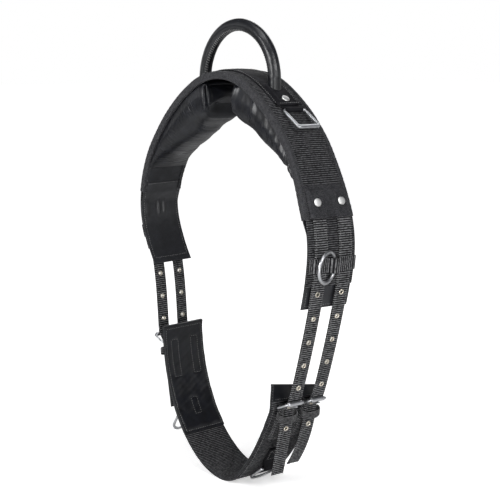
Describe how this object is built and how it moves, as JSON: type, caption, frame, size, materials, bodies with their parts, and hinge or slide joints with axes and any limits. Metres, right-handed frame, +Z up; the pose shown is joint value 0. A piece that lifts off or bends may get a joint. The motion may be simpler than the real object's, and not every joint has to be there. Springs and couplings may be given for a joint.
{
  "type": "lunging surcingle",
  "caption": "Padded lunging surcingle, buckled as a closed loop: handle and stuffed pads over the withers, side-rein rings, twin billet straps with roller buckles and a girth with chest rings.",
  "frame": {"origin": "under the middle of the band's lining, on the withers", "axes": "+Z up, +X to the right-hand side of the picture, -Y towards the horse's head"},
  "size_m": [0.5472, 0.1008, 0.8466],
  "materials": {
    "webbing": "ribbed black webbing",
    "strap": "ribbed black strap webbing",
    "binding": "dark grey woven binding tape",
    "foam": "felt stuffing",
    "leather": "satin black leather",
    "patch": "matt black leather",
    "core": "rope core",
    "rivet": "satin silver",
    "chrome": "polished"
  },
  "bodies": {
    "loop": {"band_core": "foam", "band_lining": "leather", "billet_left_front": "strap", "billet_left_rear": "strap", "billet_right_front": "strap", "billet_right_rear": "strap", "binding_front": "binding", "binding_rear": "binding", "buckle_chape_left_front": "strap", "buckle_chape_left_rear": "strap", "buckle_chape_right_front": "strap", "buckle_chape_right_rear": "strap", "chest_ring_chape_left": "patch", "chest_ring_chape_right": "patch", "cross_strap_left": "webbing", "cross_strap_right": "webbing", "flap_leather_left": "leather", "flap_leather_right": "leather", "girth_pad_left": "leather", "girth_pad_right": "leather", "girth_webbing": "webbing", "handle_core": "core", "handle_cover": "leather", "handle_patch": "patch", "handle_rivet_left": "rivet", "handle_rivet_right": "rivet", "patch_left": "patch", "patch_right": "patch", "patch_rivet_left_front": "rivet", "patch_rivet_left_rear": "rivet", "patch_rivet_right_front": "rivet", "patch_rivet_right_rear": "rivet", "rein_ring_chape_left": "patch", "rein_ring_chape_right": "patch", "top_webbing": "webbing", "withers_pad_left": "leather", "withers_pad_right": "leather"},
    "rein_ring_right": {"rein_ring_right": "chrome"},
    "round_ring_right": {"round_ring_right": "chrome"},
    "chest_ring_right": {"chest_ring_right": "chrome"},
    "buckle_frame_right_front": {"buckle_frame_right_front": "chrome"},
    "buckle_tongue_right_front": {"buckle_tongue_right_front": "chrome"},
    "buckle_roller_right_front": {"buckle_roller_right_front": "chrome"},
    "keeper_right_front": {"keeper_right_front": "webbing"},
    "buckle_frame_right_rear": {"buckle_frame_right_rear": "chrome"},
    "buckle_tongue_right_rear": {"buckle_tongue_right_rear": "chrome"},
    "buckle_roller_right_rear": {"buckle_roller_right_rear": "chrome"},
    "keeper_right_rear": {"keeper_right_rear": "webbing"},
    "rein_ring_left": {"rein_ring_left": "chrome"},
    "round_ring_left": {"round_ring_left": "chrome"},
    "chest_ring_left": {"chest_ring_left": "chrome"},
    "buckle_frame_left_front": {"buckle_frame_left_front": "chrome"},
    "buckle_tongue_left_front": {"buckle_tongue_left_front": "chrome"},
    "buckle_roller_left_front": {"buckle_roller_left_front": "chrome"},
    "keeper_left_front": {"keeper_left_front": "webbing"},
    "buckle_frame_left_rear": {"buckle_frame_left_rear": "chrome"},
    "buckle_tongue_left_rear": {"buckle_tongue_left_rear": "chrome"},
    "buckle_roller_left_rear": {"buckle_roller_left_rear": "chrome"},
    "keeper_left_rear": {"keeper_left_rear": "webbing"}
  },
  "joints": [
    {"name": "rein_ring_right_hinge", "type": "hinge", "parent": "loop", "child": "rein_ring_right", "pos_m": [0.1471, 0, -0.05189], "axis": [0, -1, 0], "range_deg": [-8, 130]},
    {"name": "round_ring_right_hinge", "type": "hinge", "parent": "loop", "child": "round_ring_right", "pos_m": [0.25109, 0.001, -0.30858], "axis": [0.1121, -0.0141, 0.9936], "range_deg": [-12, 135]},
    {"name": "chest_ring_right_hinge", "type": "hinge", "parent": "loop", "child": "chest_ring_right", "pos_m": [0.09001, 0, -0.70479], "axis": [-0.045, -0.999, 0], "range_deg": [-1, 80]},
    {"name": "buckle_frame_right_front_hinge", "type": "hinge", "parent": "loop", "child": "buckle_frame_right_front", "pos_m": [0.15782, -0.024, -0.57056], "axis": [0.0796, 0.9968, 0], "range_deg": [-0.5, 2]},
    {"name": "buckle_tongue_right_front_hinge", "type": "hinge", "parent": "buckle_frame_right_front", "child": "buckle_tongue_right_front", "pos_m": [0.15782, -0.024, -0.57056], "axis": [0.0796, 0.9968, 0], "range_deg": [0, 1.5]},
    {"name": "buckle_roller_right_front_spin", "type": "hinge", "parent": "buckle_frame_right_front", "child": "buckle_roller_right_front", "pos_m": [0.18446, -0.02648, -0.55917], "axis": [0.0769, 0.997, 0], "continuous": true},
    {"name": "keeper_right_front_slide", "type": "slide", "parent": "loop", "child": "keeper_right_front", "axis": [-0.1117, 0.0091, -0.9937], "range_m": [0, 0.004]},
    {"name": "buckle_frame_right_rear_hinge", "type": "hinge", "parent": "loop", "child": "buckle_frame_right_rear", "pos_m": [0.16181, 0.026, -0.57056], "axis": [0.0796, 0.9968, 0], "range_deg": [-0.5, 2]},
    {"name": "buckle_tongue_right_rear_hinge", "type": "hinge", "parent": "buckle_frame_right_rear", "child": "buckle_tongue_right_rear", "pos_m": [0.16181, 0.026, -0.57056], "axis": [0.0796, 0.9968, 0], "range_deg": [0, 1.5]},
    {"name": "buckle_roller_right_rear_spin", "type": "hinge", "parent": "buckle_frame_right_rear", "child": "buckle_roller_right_rear", "pos_m": [0.18835, 0.02352, -0.55927], "axis": [0.0768, 0.997, 0], "continuous": true},
    {"name": "keeper_right_rear_slide", "type": "slide", "parent": "loop", "child": "keeper_right_rear", "axis": [-0.1144, 0.0094, -0.9934], "range_m": [0, 0.004]},
    {"name": "rein_ring_left_hinge", "type": "hinge", "parent": "loop", "child": "rein_ring_left", "pos_m": [-0.14873, 0, -0.04862], "axis": [0, 1, 0], "range_deg": [-8, 130]},
    {"name": "round_ring_left_hinge", "type": "hinge", "parent": "loop", "child": "round_ring_left", "pos_m": [-0.24739, 0, -0.30057], "axis": [-0.3516, -0.0435, 0.9351], "range_deg": [-12, 135]},
    {"name": "chest_ring_left_hinge", "type": "hinge", "parent": "loop", "child": "chest_ring_left", "pos_m": [-0.15894, 0, -0.65257], "axis": [-0.0792, 0.9969, 0], "range_deg": [-60, 45]},
    {"name": "buckle_frame_left_front_hinge", "type": "hinge", "parent": "loop", "child": "buckle_frame_left_front", "pos_m": [-0.18066, -0.025, -0.5142], "axis": [0.091, -0.9958, 0], "range_deg": [-0.5, 2]},
    {"name": "buckle_tongue_left_front_hinge", "type": "hinge", "parent": "buckle_frame_left_front", "child": "buckle_tongue_left_front", "pos_m": [-0.18066, -0.025, -0.5142], "axis": [0.091, -0.9958, 0], "range_deg": [0, 1.5]},
    {"name": "buckle_roller_left_front_spin", "type": "hinge", "parent": "buckle_frame_left_front", "child": "buckle_roller_left_front", "pos_m": [-0.20683, -0.02781, -0.50181], "axis": [0.0883, -0.9961, 0], "continuous": true},
    {"name": "keeper_left_front_slide", "type": "slide", "parent": "loop", "child": "keeper_left_front", "axis": [0.0739, 0.0069, -0.9972], "range_m": [0, 0.004]},
    {"name": "buckle_frame_left_rear_hinge", "type": "hinge", "parent": "loop", "child": "buckle_frame_left_rear", "pos_m": [-0.18523, 0.025, -0.5142], "axis": [0.0911, -0.9958, 0], "range_deg": [-0.5, 2]},
    {"name": "buckle_tongue_left_rear_hinge", "type": "hinge", "parent": "buckle_frame_left_rear", "child": "buckle_tongue_left_rear", "pos_m": [-0.18523, 0.025, -0.5142], "axis": [0.0911, -0.9958, 0], "range_deg": [0, 1.5]},
    {"name": "buckle_roller_left_rear_spin", "type": "hinge", "parent": "buckle_frame_left_rear", "child": "buckle_roller_left_rear", "pos_m": [-0.21129, 0.02219, -0.50187], "axis": [0.0883, -0.9961, 0], "continuous": true},
    {"name": "keeper_left_rear_slide", "type": "slide", "parent": "loop", "child": "keeper_left_rear", "axis": [0.0758, 0.0071, -0.9971], "range_m": [0, 0.004]}
  ]
}
